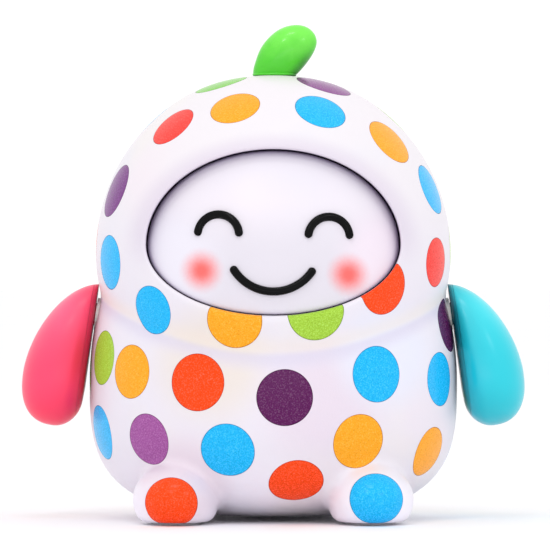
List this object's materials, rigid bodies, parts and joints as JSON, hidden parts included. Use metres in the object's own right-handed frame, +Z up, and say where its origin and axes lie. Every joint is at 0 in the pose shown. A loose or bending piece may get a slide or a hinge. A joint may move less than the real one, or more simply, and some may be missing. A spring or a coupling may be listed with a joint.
{
  "type": "electronic toy figure",
  "caption": "Round battery-powered baby toy figure with a hooded smiling face, two swinging flippers and a press-down leaf on its head.",
  "frame": {"origin": "centre of the figure's box on the surface it stands on", "axes": "+Z up, the face looks along -Y, +X to the viewer's right when the figure is seen from the front"},
  "size_m": [0.2014, 0.149, 0.1979],
  "materials": {
    "pearl_shell": "satin pearl white moulded plastic with printed polka dots",
    "face_white": "satin white moulded plastic with airbrushed cheeks",
    "gloss_black": "gloss black moulded plastic",
    "wing_pink": "satin pink moulded plastic",
    "wing_teal": "satin teal moulded plastic",
    "leaf_green": "high-gloss green moulded plastic",
    "pad_rubber": "pale grey soft rubber",
    "box_plastic": "dark grey moulded plastic",
    "board_green": "green lacquered circuit board",
    "chip_black": "black moulded component body",
    "socket_ivory": "ivory moulded connector",
    "acetal": "natural white acetal",
    "cell_jacket": "plain dark grey printed cell jacket",
    "paper_cone": "black treated paper",
    "lead_red": "red insulated wire",
    "steel": "plated steel"
  },
  "bodies": {
    "body": {"front_shell": "pearl_shell", "rear_shell": "pearl_shell", "face_panel": "face_white", "eye_left": "gloss_black", "eye_right": "gloss_black", "smile": "gloss_black", "foot_pad_front_left": "pad_rubber", "foot_pad_front_right": "pad_rubber", "foot_pad_rear_left": "pad_rubber", "foot_pad_rear_right": "pad_rubber", "shell_screw_lower_left": "steel", "shell_screw_lower_right": "steel", "shell_screw_upper_left": "steel", "shell_screw_upper_right": "steel", "shell_screw_bottom": "steel", "leaf_spring": "steel", "leaf_switch": "chip_black", "leaf_switch_board": "board_green", "leaf_board_screw_1": "steel", "leaf_board_screw_2": "steel", "battery_box": "box_plastic", "battery_1": "cell_jacket", "battery_2": "cell_jacket", "battery_3": "cell_jacket", "battery_terminal_positive": "steel", "battery_terminal_negative": "steel", "battery_bridge_left": "steel", "battery_bridge_right": "steel", "main_board": "board_green", "board_screw_upper": "steel", "board_screw_lower": "steel", "sound_chip": "chip_black", "capacitor": "chip_black", "wire_socket": "socket_ivory", "speaker_frame": "steel", "speaker_cone": "paper_cone", "speaker_magnet": "steel", "speaker_screw_left": "steel", "speaker_screw_right": "steel", "switch_housing": "chip_black", "speaker_lead": "lead_red", "switch_lead": "lead_red", "battery_lead": "lead_red", "leaf_lead": "lead_red", "pink_wing_bush": "acetal", "teal_wing_bush": "acetal"},
    "pink_wing": {"pink_wing_shell": "wing_pink", "pink_wing_plate": "wing_pink", "pink_wing_washer": "steel", "pink_wing_screw": "steel"},
    "teal_wing": {"teal_wing_shell": "wing_teal", "teal_wing_plate": "wing_teal", "teal_wing_washer": "steel", "teal_wing_screw": "steel"},
    "leaf_button": {"leaf": "leaf_green", "leaf_plunger": "acetal"},
    "power_switch": {"switch_knob": "gloss_black"},
    "rear_door": {"battery_door": "pearl_shell", "door_screw_left": "steel", "door_screw_right": "steel"}
  },
  "joints": [
    {"name": "pink_wing_pivot", "type": "hinge", "parent": "body", "child": "pink_wing", "pos_m": [-0.0706, 0, 0.08165], "axis": [-0.9903, 0, 0.1392], "range_deg": [-60, 60]},
    {"name": "teal_wing_pivot", "type": "hinge", "parent": "body", "child": "teal_wing", "pos_m": [0.0706, 0, 0.08165], "axis": [-0.9903, 0, -0.1392], "range_deg": [-60, 60]},
    {"name": "leaf_press", "type": "slide", "parent": "body", "child": "leaf_button", "axis": [0, 0, -1], "range_m": [0, 0.0012], "stiffness_N_per_m": 300, "springref_m": -0.002, "deforming": ["leaf_spring"]},
    {"name": "power_slide", "type": "slide", "parent": "body", "child": "power_switch", "axis": [1, 0, 0], "range_m": [0, 0.008]},
    {"name": "battery_door_release", "type": "slide", "parent": "body", "child": "rear_door", "axis": [0, 1, 0], "range_m": [0, 0.03]}
  ]
}
